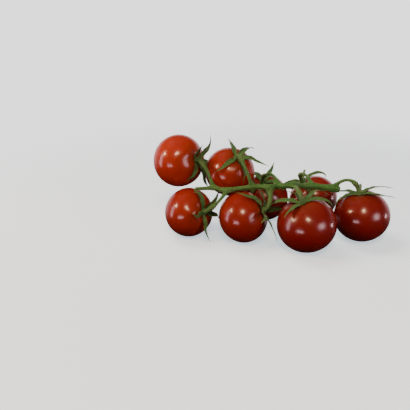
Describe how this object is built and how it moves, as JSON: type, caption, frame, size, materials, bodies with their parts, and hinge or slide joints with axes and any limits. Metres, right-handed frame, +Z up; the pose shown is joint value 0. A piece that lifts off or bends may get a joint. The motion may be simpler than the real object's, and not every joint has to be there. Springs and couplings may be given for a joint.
{
  "type": "tomato truss",
  "caption": "Truss of ripe red tomatoes lying on a surface, each fruit with its star of green sepals, joined by knuckled side stalks to one green main stem.",
  "frame": {"origin": "middle of the footprint of the whole truss, on the surface that it lies on", "axes": "+Z up from the surface; +X along the truss towards the cut end of the main stem; +Y towards the back row of fruits"},
  "size_m": [0.1748, 0.102, 0.0711],
  "materials": {
    "tomato_skin": "ripe tomato skin, smooth, glossy deep red",
    "calyx_green": "matte leaf green sepals and neck, finely haired",
    "stem_green": "matte yellow-green stem, finely haired"
  },
  "bodies": {
    "root": {"main_stem": "stem_green", "calyx_1": "calyx_green", "calyx_2": "calyx_green", "calyx_3": "calyx_green", "calyx_4": "calyx_green", "calyx_5": "calyx_green", "calyx_6": "calyx_green", "calyx_7": "calyx_green", "calyx_8": "calyx_green", "tomato_1": "tomato_skin", "tomato_2": "tomato_skin", "tomato_3": "tomato_skin", "tomato_4": "tomato_skin", "tomato_5": "tomato_skin", "tomato_6": "tomato_skin", "tomato_7": "tomato_skin", "tomato_8": "tomato_skin"}
  },
  "joints": []
}
